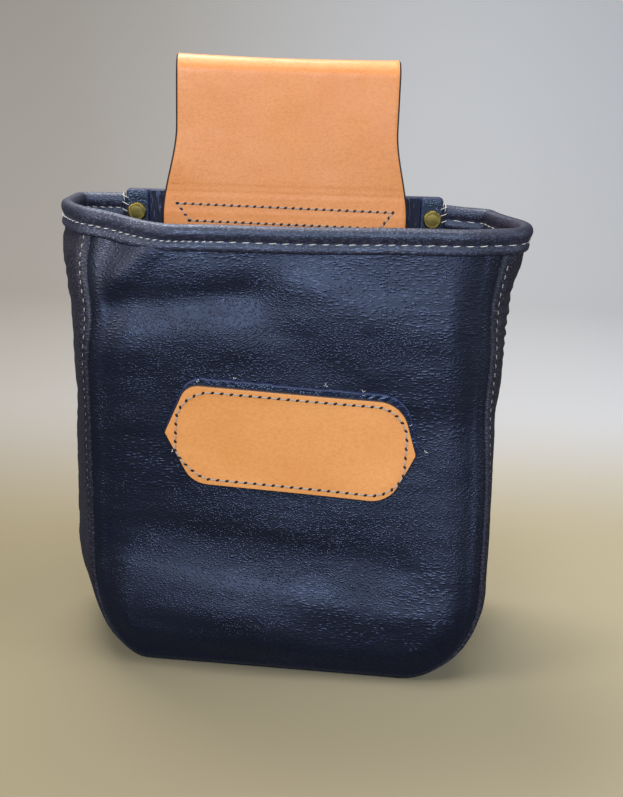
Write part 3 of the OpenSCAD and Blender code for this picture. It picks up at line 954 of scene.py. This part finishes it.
def rim_thread():
    """The binding's topstitching, outside and inside the mouth."""
    parts = []
    rng = random.Random(5)
    share = np.linspace(0, 1, 7)
    arch = np.sin(np.pi * share)
    lift = 2.62 + 0.5 * arch ** 0.6 - 0.35 * (1 - arch ** 0.4)
    for out in (lift, -0.95 * lift):
        for at, pitch in RIM_STITCHES:
            drop = BINDING_DROP + rng.uniform(-0.5, -0.1) * (share - 0.5)
            parts.append(tube(rim_point(at + 0.58 * pitch * share, out, drop), 0.23, up=(0, 0, 1)))
    points, faces = join(parts)
    make_piece("rim_stitches", points, faces, "bag", [THREAD], ["rim_thread"])


def binding_end_threads():
    """Slanted whip stitches that catch the cut ends of the binding to the rivet tabs."""
    face_y = node_box("left_rivet_tab")[0][1]
    share = np.linspace(0, 1, 9)
    for side, end in ((-1, "left_binding_end"), (1, "right_binding_end")):
        parts = []
        for z in (RIM_TOP - 9.5, RIM_TOP - 5.8, RIM_TOP - 2.2):
            x = side * (PLATE_HALF - 1.4 + 3.4 * share)
            y = face_y - 0.1 - 0.5 * np.sin(math.pi * share) ** 0.5
            line = np.stack([x, y, z + 1.8 * share], axis=1)
            parts.append(tube(settle(line), 0.26))
        angle = np.radians(np.linspace(-20, 200, 14))
        over = np.stack([
            side * (PLATE_HALF + 1.0 + 0.5 * np.sin(angle)),
            BACK_Y + 1.0 - 3.9 * np.cos(angle),
            RIM_TOP - 2.6 + 3.0 * np.sin(angle),
        ], axis=1)
        parts.append(tube(settle(over), 0.26, up=(1, 0, 0)))
        points, faces = join(parts)
        make_piece(end + "_stitches", points, faces, "bag", [THREAD], [end + "_thread"])


# ---------------------------------------------------------------- stitches on flat leather

HOLE_SIZE = 0.8
THREAD_LIFT = 0.12            # top of a saddle stitch above the leather
THREAD_DIP = 0.3              # its ends below the leather


def saddle_stitches(line, pitch, place, radius=0.36, closed=False):
    """A row of saddle stitches along a line in the plane of a piece: threads that dip into holes, each hole
    a near-black disc of painted shade.
    place(u, w, t) gives the point at height t above the leather. Returns threads and holes."""
    stops = resample(line, pitch, closed)
    threads, holes = [], []
    count = len(stops)
    share = np.linspace(0.1, 0.9, 7)
    height = -THREAD_DIP + (THREAD_LIFT + THREAD_DIP) * np.sin(np.pi * (share - 0.1) / 0.8) ** 0.5
    for k in range(count if closed else count - 1):
        a, b = stops[k], stops[(k + 1) % count]
        run = a + (b - a) * share[:, None]
        threads.append(tube(place(run[:, 0], run[:, 1], height), radius))
    # each hole is a thin dark disc lying on the leather: painted shade of the hollow
    angle = np.linspace(0, 2 * math.pi, 12, endpoint=False)[:, None]
    for k in range(count):
        a = stops[k]
        b = stops[(k + 1) % count] if closed or k < count - 1 else stops[k - 1]
        along = (b - a) / np.linalg.norm(b - a)
        slant = np.array([along[0] * 0.88 - along[1] * 0.48, along[0] * 0.48 + along[1] * 0.88])
        across = np.array([-slant[1], slant[0]])
        ring = HOLE_SIZE * (1.25 * np.cos(angle) * slant + 0.78 * np.sin(angle) * across)
        rings = [place(*(a + size * ring).T, t) for size, t in ((1.0, -0.25), (1.0, 0.12), (0.55, 0.14))]
        holes.append(ring_loft(rings))
    return threads, holes


def make_stitches(name, node, threads, holes):
    """Two pieces from a row of stitches: its threads and the painted shade of its holes."""
    points, faces = join(threads)
    make_piece(name, points, faces, "bag", [GREY_THREAD], [node])
    points, faces = join(holes)
    make_piece(name + "_hole_shade", points, faces, "bag", [HOLE_SHADE])


# ---------------------------------------------------------------- seam stitches on the gusset

def depth_at(tau, distance):
    """Depth fraction, at each station, of the line a distance behind the front seam."""
    z = u_outline(tau, FRONT_HALF, FRONT_LEFT_CORNER, FRONT_RIGHT_CORNER)[1]
    v = np.linspace(0, 0.2, 200)
    away = np.hypot(v * DEPTH, side_bow(z[:, None], v))
    return np.array([np.interp(distance, row, v) for row in away])


SEAM_PITCH = 4.4
SEAM_TOP_GAP = 11.0           # rim to the first stitch of a seam


def seam_thread(seam, at_back):
    """Topstitching beside a seam, down one side, under the base and up the other."""
    tau = stations(0.8 * GRID_STEP)
    v = np.full_like(tau, 1 - STITCH_IN / 1.1 / DEPTH) if at_back else depth_at(tau, STITCH_IN)
    line = gusset_surface(tau, v)
    beside = gusset_surface(tau, v + 0.004)
    run = np.r_[0, np.cumsum(np.linalg.norm(np.diff(line, axis=0), axis=1))]
    tangent = np.gradient(line, axis=0)
    out = np.cross(tangent, beside - line)
    out = out / np.maximum(np.linalg.norm(out, axis=1, keepdims=True), 1e-9)
    inside = np.array([0, 0, 100.0])
    out = out * np.sign(np.sum(out * (line - inside), axis=1))[:, None]
    parts = []
    share = np.linspace(0, 1, 6)
    lift = -0.25 + 0.5 * np.sin(np.pi * share) ** 0.6
    at = SEAM_TOP_GAP
    while at < run[-1] - SEAM_TOP_GAP - SEAM_PITCH:
        where = at + 0.62 * SEAM_PITCH * share
        points = np.stack([np.interp(where, run, line[:, k]) for k in range(3)], axis=1)
        normal = np.stack([np.interp(where, run, out[:, k]) for k in range(3)], axis=1)
        points = points + normal * lift[:, None]
        if points[:, 2].min() > 1.2:
            parts.append(tube(points, 0.3, up=normal[3]))
        at += SEAM_PITCH
    points, faces = join(parts)
    make_piece(seam + "_stitches", points, faces, "bag", [GREY_THREAD], [seam + "_thread"])


# ---------------------------------------------------------------- patch

def patch_outline(length=PATCH_LENGTH, height=PATCH_HEIGHT):
    """Straight top and bottom, round corners, and straight runs to an obtuse point at each end.
    It is cut by hand, so its four corners differ in slope (degrees) and radius."""
    half, rise = length / 2, height / 2
    points = []
    corners = ((1, 1, 19, 17), (1, -1, 25, 15), (-1, -1, 30, 13), (-1, 1, 19, 9))
    for side, up, slope, radius in corners:
        slope = math.radians(slope)
        centre_x = half - (radius + (rise - radius) * math.sin(slope)) / math.cos(slope)
        turns = np.linspace(math.pi / 2, slope, 12)
        arc = [(side * (centre_x + radius * math.cos(a)), up * (rise - radius + radius * math.sin(a)))
               for a in turns]
        tip = [(side * half, 0.0)]
        points += arc + tip if side * up > 0 else arc[::-1]
    return resample(np.array(points), 1.4, closed=True)


def stitch_outline():
    """The patch's stitching: a rounded rectangle with slightly bowed ends, rounder at its lower left."""
    half, rise, radius = PATCH_LENGTH / 2 - 6.6, PATCH_HEIGHT / 2 - 3.2, 15.0
    points = []
    for k in range(72):
        angle = math.radians(5 * k)
        c, s = math.cos(angle), math.sin(angle)
        r = radius - 4.4 * c * s if c < 0 and s < 0 else radius
        points.append((math.copysign(half - radius, c) + r * c + 1.2 * c ** 3,
                       math.copysign(rise - radius, s) + r * s))
    return resample(np.array(points), 0.5, closed=True)


BACKING_T = 2.0
PATCH_T = 3.0


def on_backing(u, w, t):
    """A point at height t above the backing. The patch's edge has lifted a little in places."""
    rim = smooth((np.hypot(u / (PATCH_LENGTH / 2), w / (PATCH_HEIGHT / 2)) - 0.75) / 0.25)
    return patch_point(u, w, BACKING_T + t + 0.35 * rim * np.sin(u / 17.0 + w / 9.0))


def on_panel(u, w, t):
    """A point at height t of the backing, which sits up and right of the patch, puckered on top."""
    shift_u, shift_w = 1.0, 2.5
    pucker = np.sin(u / 0.74) * smooth((w - 18) / 6.0)
    return patch_point(u + shift_u, w + shift_w + 0.15 * pucker, t * (1.0 + 0.1 * pucker) + 0.05)


def front_patch():
    """The tan patch, its ragged dark backing and its stitches."""
    points, faces, edge = slab(patch_outline(), PATCH_T, 0.5, on_backing, rings=14)
    make_piece("front_patch_leather", points, faces, "bag", [PATCH_TAN, EDGE_DARK],
               ["front_patch"], edge)

    ragged = patch_outline(PATCH_LENGTH + 1.2, PATCH_HEIGHT + 0.6)
    at = np.stack([ragged[:, 0], ragged[:, 1], 0 * ragged[:, 0]], axis=1)
    ragged = ragged + 0.25 * layered_noise(at, (5, 5, 5), 71, 2)[:, None] * path_normals(ragged, closed=True)
    points, faces, edge = slab(ragged, BACKING_T + 0.9, 0.8, on_panel, rings=8)
    make_piece("patch_backing_leather", points, faces, "bag", [BACKING, EDGE_BLUE],
               ["patch_backing"], edge)

    threads, holes = saddle_stitches(stitch_outline(), 4.5, lambda u, w, t: on_backing(u, w, PATCH_T + t),
                                     closed=True)
    make_stitches("patch_stitches", "patch_thread", threads, holes)


# places round the patch where thread ends were left, along and across it from its centre
LOOSE_ENDS = (
    (-46.5, 26.5), (-29.5, 29.5), (13.5, 30.2), (32.0, 28.8), (57.5, 14.0), (65.2, 1.5), (-56.5, -11.0),
)


def loose_ends():
    """Short frayed thread ends left round the patch."""
    rng = random.Random(9)
    parts = []
    share = np.linspace(0, 1, 6)
    for u, w in LOOSE_ENDS:
        for _ in range(3):
            angle = rng.uniform(0, math.pi)
            reach = rng.uniform(0.8, 2.0)
            curl = rng.uniform(-0.9, 0.9)
            du = reach * share * math.cos(angle) + 0.3 * curl * share ** 2
            dw = reach * share * math.sin(angle) - 0.5 * curl * share ** 2
            parts.append(tube(patch_point(u + du, w + dw, 2.4 + 1.1 * np.sin(2.5 * share)), 0.16, sides=5))
    points, faces = join(parts)
    make_piece("patch_loose_ends", points, faces, "bag", [THREAD])


# ---------------------------------------------------------------- back plate, facing and rivets

def pocket_outline(half, low, high, radius, corner=1.5):
    """A rectangle with round lower corners and slightly eased upper ones."""
    points = []
    corners = (
        (half - radius, low + radius, radius, -90),
        (half - corner, high - corner, corner, 0),
        (corner - half, high - corner, corner, 90),
        (radius - half, low + radius, radius, 180),
    )
    for centre_x, centre_z, r, start in corners:
        steps = 12 if r > 3 else 4
        for angle in np.radians(start + 90 * np.arange(steps + 1) / steps):
            points.append((centre_x + r * math.cos(angle), centre_z + r * math.sin(angle)))
    return resample(np.array(points), 1.5, closed=True)


def upright(y_face, direction, centre_x=0.0, waviness=0.0, seed=80):
    """Place function of a piece that stands on the plane y_face and thickens towards direction."""
    def place(u, w, t):
        y = y_face + direction * t + 0 * u
        at = np.stack([u, 0 * u, w], axis=-1)
        y = y + direction * waviness * layered_noise(at, (30, 30, 30), seed, 2) * smooth(t)
        return np.stack([centre_x + u, y, w + 0 * u], axis=-1)
    return place


def back_plate():
    """The stiff plate behind the back wall, stitched round its lower edge."""
    thickness = PLATE_HIGH[1] - PLATE_LOW[1]
    outline = pocket_outline(PLATE_HALF, PLATE_LOW[2], PLATE_HIGH[2], 22.0)
    place = upright(PLATE_LOW[1], 1.0, waviness=0.12)
    points, faces, edge = slab(outline, thickness, 0.7, place, rings=12)
    make_piece("back_plate_leather", points, faces, "bag", [PLATE, EDGE_BLUE],
               ["back_plate"], edge)
    line = outline - 4.5 * outline_normals(outline)
    line = line[line[:, 1] < PLATE_HIGH[2] - 21.0]
    order = np.argsort(np.arctan2(line[:, 0], line[:, 1] - PLATE_HIGH[2]))
    threads, holes = saddle_stitches(line[order], 4.6, lambda u, w, t: place(u, w, thickness + t))
    make_stitches("back_plate_stitches", "back_plate_thread", threads, holes)


def back_facing():
    """The rough strip inside the back wall, behind the strap."""
    thickness = FACING_HIGH[1] - FACING_LOW[1]
    outline = pocket_outline(FACING_HIGH[0], FACING_LOW[2], FACING_HIGH[2], 10.0)
    place = upright(FACING_HIGH[1], -1.0, waviness=0.25, seed=85)
    points, faces, edge = slab(outline, thickness, 0.5, place, rings=10)
    make_piece("back_facing_suede", points, faces, "bag", [SUEDE, EDGE_BLUE],
               ["back_facing"], edge)


def rivet_tabs():
    """The smooth tabs inside the back wall that the rivets go through."""
    for name in ("left_rivet_tab", "right_rivet_tab"):
        low, high = node_box(name)
        centre = (low + high) / 2
        half = (high[0] - low[0]) / 2
        outline = pocket_outline(half, low[2], high[2], 3.0, corner=1.0)
        place = upright(high[1], -1.0, centre_x=centre[0], waviness=0.15, seed=90)
        points, faces, edge = slab(outline, high[1] - low[1], 0.9, place, rings=6)
        make_piece(name + "_leather", points, faces, "bag", [PLATE, EDGE_BLUE],
                   [name], edge)


def lathe(profile, start, sides=56):
    """A turned piece about an axis along Y: profile points are (radius, distance behind its start)."""
    angle = np.linspace(0, 2 * math.pi, sides, endpoint=False)
    around = np.stack([np.cos(angle), 0 * angle, np.sin(angle)], axis=1)
    return ring_loft([start + np.array([0, reach, 0]) + radius * around for radius, reach in profile])


def rivets():
    """Two brass rivets: a domed cap inside the bag, and a post with its own flange behind it."""
    for name in ("left_rivet", "right_rivet"):
        low, high = node_box(name + "_cap")
        start = np.array([(low[0] + high[0]) / 2, low[1], (low[2] + high[2]) / 2])
        r = (high[0] - low[0]) / 2
        cap = [(0.05, 1.6), (r - 0.25, 1.6), (r, 1.35), (r, 0.85), (r - 0.18, 0.5), (r - 0.55, 0.2),
               (r - 0.95, 0.08), (r - 1.2, 0.14), (r * 0.6, 0.05), (r * 0.3, 0.0), (0.05, -0.02)]
        points, faces = lathe(cap, start)
        make_piece(name + "_cap_brass", points, faces, "bag", [BRASS], [name + "_cap"])
        low, high = node_box(name + "_post")
        start[1] = low[1]
        span = high[1] - low[1]
        post = [(0.05, 0.0), (1.9, 0.0), (2.05, 0.15), (2.05, span - 1.4), (r - 0.3, span - 1.4),
                (r, span - 1.1), (r, span - 0.6), (r - 0.4, span - 0.15), (r - 1.1, span),
                (0.05, span + 0.05)]
        points, faces = lathe(post, start)
        make_piece(name + "_post_brass", points, faces, "bag", [BRASS], [name + "_post"])


# ---------------------------------------------------------------- belt loop

STRAP_T = FOOT_HIGH[1] - FOOT_LOW[1]
STRAP_HALF = 57.8
STRAP_BASE_HALF = FOOT_HIGH[0]


def strap_half(z):
    """Half width of the strap at a height: it narrows above the rim."""
    return STRAP_HALF + (STRAP_BASE_HALF - STRAP_HALF) * smooth((RIM_TOP + 37 - z) / 48.0)


def strap_path():
    """Middle line of the strap as (y, z): up inside the bag, over the fold and down the outside."""
    front = (FOOT_LOW[1] + FOOT_HIGH[1]) / 2
    rear = (REAR_FOOT_LOW[1] + REAR_FOOT_HIGH[1]) / 2
    far = LOOP_HIGH[1] - STRAP_T / 2
    radius = (far - front) / 2
    arc_z = LOOP_HIGH[2] - STRAP_T / 2 - radius
    up = [(front, z) for z in np.linspace(FOOT_LOW[2], arc_z, 80)]
    over = [(front + radius - radius * math.cos(a), arc_z + radius * math.sin(a))
            for a in np.radians(range(6, 180, 6))]
    straight = FOOT_HIGH[2] + 4
    z = np.linspace(arc_z, REAR_FOOT_LOW[2], 80)
    down = np.stack([rear + (far - rear) * smooth((z - straight) / (arc_z - straight)), z], axis=1)
    return resample(np.vstack([up, over, down]), 1.2)


STRAP_CORNER = 12.0
STRAP_ACROSS = np.linspace(-1, 1, 61)
STRAP_EDGE_TURNS = np.radians([-60, -30, 0, 30, 60])


def strap_section(middle, out, run, total):
    """One closed section across the strap, as points: grain side, right edge, flesh side, left edge.
    middle and out are the strap's middle line and outward normal there, as (y, z)."""
    z = middle[1]
    half = float(strap_half(z))
    end = min(run, total - run)
    if end < STRAP_CORNER:
        half = half - STRAP_CORNER + math.sqrt(max(0.0, STRAP_CORNER ** 2 - (STRAP_CORNER - end) ** 2))
    x = STRAP_ACROSS * (half - STRAP_T * 0.3)
    at = np.stack([x, np.full_like(x, run), 0 * x], axis=1)
    above_rim = smooth((z - RIM_TOP) / 20.0)
    cup = above_rim * (0.9 * (STRAP_ACROSS ** 2 - 0.4) + 0.35 * layered_noise(at, (50, 40, 9), 101, 2))
    crease = 0.0
    if run < total / 2:
        crease = 0.2 * bump_at(z, 222.6, 0.7) - 0.22 * bump_at(z, 233.5, 0.9) - 0.16 * bump_at(z, 236.5, 0.7)
    grain = STRAP_T / 2 + crease + 0.04 * layered_noise(at, (9, 9, 9), 105, 3) + cup
    flesh = -STRAP_T / 2 + cup

    def side(x, height):
        return np.stack([x, middle[0] + out[0] * height, z + out[1] * height], axis=1)

    turn = np.sin(STRAP_EDGE_TURNS) * STRAP_T * 0.46
    reach = x[-1] + np.cos(STRAP_EDGE_TURNS) * STRAP_T * 0.3
    right = side(reach, (grain[-1] + flesh[-1]) / 2 - turn)
    left = side(-reach, (grain[0] + flesh[0]) / 2 + turn)
    return np.concatenate([side(x, grain), right, side(x[::-1], flesh[::-1]), left])


def strap():
    """The whole strap in one piece: sewn down at both ends, and bending where it leaves the rim."""
    path = strap_path()
    normals = path_normals(path)
    outward = normals * (-1.0 if normals[5, 0] > 0 else 1.0)
    run = np.r_[0, np.cumsum(np.linalg.norm(np.diff(path, axis=0), axis=1))]
    rings = [strap_section(path[k], outward[k], run[k], run[-1]) for k in range(len(path))]
    points, faces = ring_loft(rings)
    flat, turned = len(STRAP_ACROSS), len(STRAP_EDGE_TURNS)
    kinds = []
    for f in range(len(faces)):
        j = f % len(rings[0])
        in_grain = j < flat - 1
        in_flesh = flat + turned <= j < 2 * flat + turned - 1
        kinds.append(0 if in_grain else 2 if in_flesh else 1)
    kinds[-2:] = [1, 1]
    piece = make_piece("belt_loop_strap", points, faces, None, [TAN, EDGE_DARK, FLESH],
                       ["belt_loop", "belt_loop_inner_foot", "belt_loop_outer_foot"], kinds)
    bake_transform(piece)


def strap_stitches():
    """The stitched trapezoid that holds both ends of the strap to the back wall."""
    top, low = RIM_TOP - 4.6, RIM_TOP - 13.4
    half_top, half_low = STRAP_BASE_HALF - 8.0, STRAP_BASE_HALF - 14.4
    top_left, top_right = (-half_top, top + 0.9), (half_top, top - 0.9)
    low_left, low_right = (-half_low, low + 0.8), (half_low, low - 0.8)
    rows = ((top_left, top_right), (low_left, low_right), (top_left, low_left), (top_right, low_right))
    threads, holes = [], []
    for place in (upright(FOOT_LOW[1], -1.0), upright(REAR_FOOT_HIGH[1], 1.0)):
        for line in rows:
            more_threads, more_holes = saddle_stitches(line, 4.1, place, radius=0.28)
            threads += more_threads
            holes += more_holes
    make_stitches("loop_stitches", "loop_thread", threads, holes)


# ---------------------------------------------------------------- stage, light and camera

def studio():
    """A plain pale floor that sweeps up into a backdrop, with painted light that makes both lighter towards
    the right.
    """
    profile = [(-1500, 0), (800, 0)]
    profile += [(800 + 400 * math.sin(math.radians(a)), 400 - 400 * math.cos(math.radians(a)))
                for a in range(6, 91, 6)]
    profile += [(1200, 1600)]
    rings = np.array([[(x, y, z - 0.05) for x in (-2000, 2000)] for y, z in profile], float)
    faces = quad_grid(len(profile), 2)
    material, tree, shader = node_tree("pale_backdrop")
    n = Nodes(tree)
    coords = n.add("ShaderNodeTexCoord")
    parts = n.add("ShaderNodeSeparateXYZ", Vector=coords.outputs["Object"])
    rise = n.ramp(parts.outputs["Y"], 0.10, 0.42)
    # painted light: floor and backdrop are lighter towards the right, as if lit from that side
    across = n.ramp(parts.outputs["X"], -0.35, 0.35)
    wall = n.mix(across, colour(152, 147, 140), colour(184, 185, 187))
    ground = n.mix(across, colour(128, 118, 94), colour(168, 157, 130))
    n.feed(shader, "Base Color", n.mix(rise, ground, wall))
    shader.inputs["Roughness"].default_value = 0.9
    shader.inputs["Specular IOR Level"].default_value = 0.1
    mesh = bpy.data.meshes.new("studio_floor")
    mesh.from_pydata((rings.reshape(-1, 3) * MM).tolist(), [], faces)
    mesh.materials.append(material)
    mesh.polygons.foreach_set("use_smooth", [True] * len(mesh.polygons))
    floor = bpy.data.objects.new("studio_floor", mesh)
    floor.visible_glossy = False
    bpy.context.scene.collection.objects.link(floor)


def area_light(name, place, aim, size, power, tint):
    data = bpy.data.lights.new(name, "AREA")
    data.shape = "RECTANGLE"
    data.size, data.size_y = size
    data.energy = power
    data.color = tint
    light = bpy.data.objects.new(name, data)
    light.location = place
    light.rotation_euler = (Vector(aim) - Vector(place)).to_track_quat("-Z", "Y").to_euler()
    bpy.context.scene.collection.objects.link(light)


def lights():
    world = bpy.data.worlds.new("studio_world")
    bpy.context.scene.world = world
    world.use_nodes = True
    world.node_tree.nodes["Background"].inputs[0].default_value = (0.85, 0.90, 1.0, 1.0)
    world.node_tree.nodes["Background"].inputs[1].default_value = 0.11
    area_light("front_window", (-0.08, -1.40, 0.54), (0, 0, 0.14), (1.2, 0.28), 17.0, (0.72, 0.84, 1.0))
    area_light("overhead_softbox", (0.1, -0.25, 1.35), (0, 0, 0.15), (0.9, 0.6), 9.0, (1.0, 0.98, 0.96))
    area_light("back_softbox", (-0.25, 0.45, 1.1), (0, 0.0, 0.05), (0.7, 0.5), 13.0, (1.0, 0.98, 0.96))
    area_light("right_fill", (1.3, -0.3, 0.7), (0, 0, 0.15), (0.5, 0.8), 5.0, (0.92, 0.95, 1.0))
    area_light("left_fill", (-1.1, -0.5, 0.9), (0, 0, 0.2), (0.5, 0.5), 8.0, (1.0, 0.97, 0.93))


def camera():
    """The view of the object: from the front, looking down, turned a little."""
    yaw, pitch, roll = (math.radians(a) for a in (-2.13, 17.58, 2.0))
    ahead = Vector((-math.sin(yaw) * math.cos(pitch), math.cos(yaw) * math.cos(pitch), -math.sin(pitch)))
    level = Vector((math.cos(yaw), math.sin(yaw), 0))
    above = level.cross(ahead)
    right = math.cos(roll) * level + math.sin(roll) * above
    up = -math.sin(roll) * level + math.cos(roll) * above
    data = bpy.data.cameras.new("camera")
    data.sensor_width = 36.0
    data.lens = 53.34
    data.clip_start = 0.01
    eye = bpy.data.objects.new("camera", data)
    turn = Matrix((right, up, -ahead)).transposed().to_4x4()
    eye.matrix_world = Matrix.Translation((-0.0060, -0.5853, 0.3195)) @ turn
    bpy.context.scene.collection.objects.link(eye)
    bpy.context.scene.camera = eye


bpy.context.scene.view_settings.view_transform = "Standard"
camera()
studio()
lights()
front_panel()
gusset()
back_panel()
rim_binding()
rim_thread()
binding_end_threads()
seam_thread("front_seam", at_back=False)
seam_thread("back_seam", at_back=True)
front_patch()
loose_ends()
back_plate()
back_facing()
rivet_tabs()
rivets()
strap()
strap_stitches()
